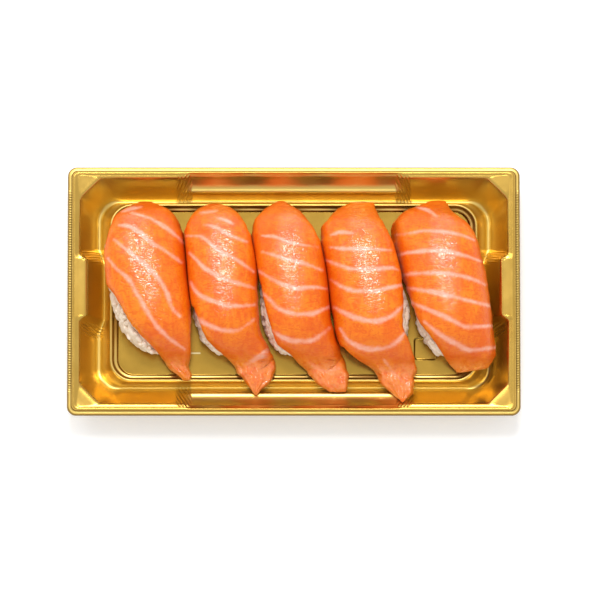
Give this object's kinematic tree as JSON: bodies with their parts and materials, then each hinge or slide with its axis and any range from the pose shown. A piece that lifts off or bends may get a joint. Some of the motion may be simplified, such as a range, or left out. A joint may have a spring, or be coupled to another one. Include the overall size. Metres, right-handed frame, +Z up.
{
  "type": "sushi tray",
  "caption": "Takeaway tray of salmon nigiri: a rectangular gold plastic tray with a stepped rim, and rice blocks side by side under draped slices of raw salmon.",
  "frame": {"origin": "middle of the tray's outline, at the height of the table it stands on", "axes": "+X along the tray's long side to the right, +Y away from the diner towards the heads of the slices, +Z up"},
  "size_m": [0.19, 0.1052, 0.0348],
  "materials": {
    "gold_plastic": "metallised gold film on thin formed plastic, glossy with a slightly hazy reflection",
    "cooked_rice": "cooked short-grain rice, off-white and slightly moist",
    "raw_salmon": "raw salmon, orange with pale bands of fat and a wet shine"
  },
  "bodies": {
    "root": {"tray": "gold_plastic", "rice_1": "cooked_rice", "rice_2": "cooked_rice", "rice_3": "cooked_rice", "rice_4": "cooked_rice", "rice_5": "cooked_rice", "salmon_1": "raw_salmon", "salmon_2": "raw_salmon", "salmon_3": "raw_salmon", "salmon_4": "raw_salmon", "salmon_5": "raw_salmon"}
  },
  "joints": []
}
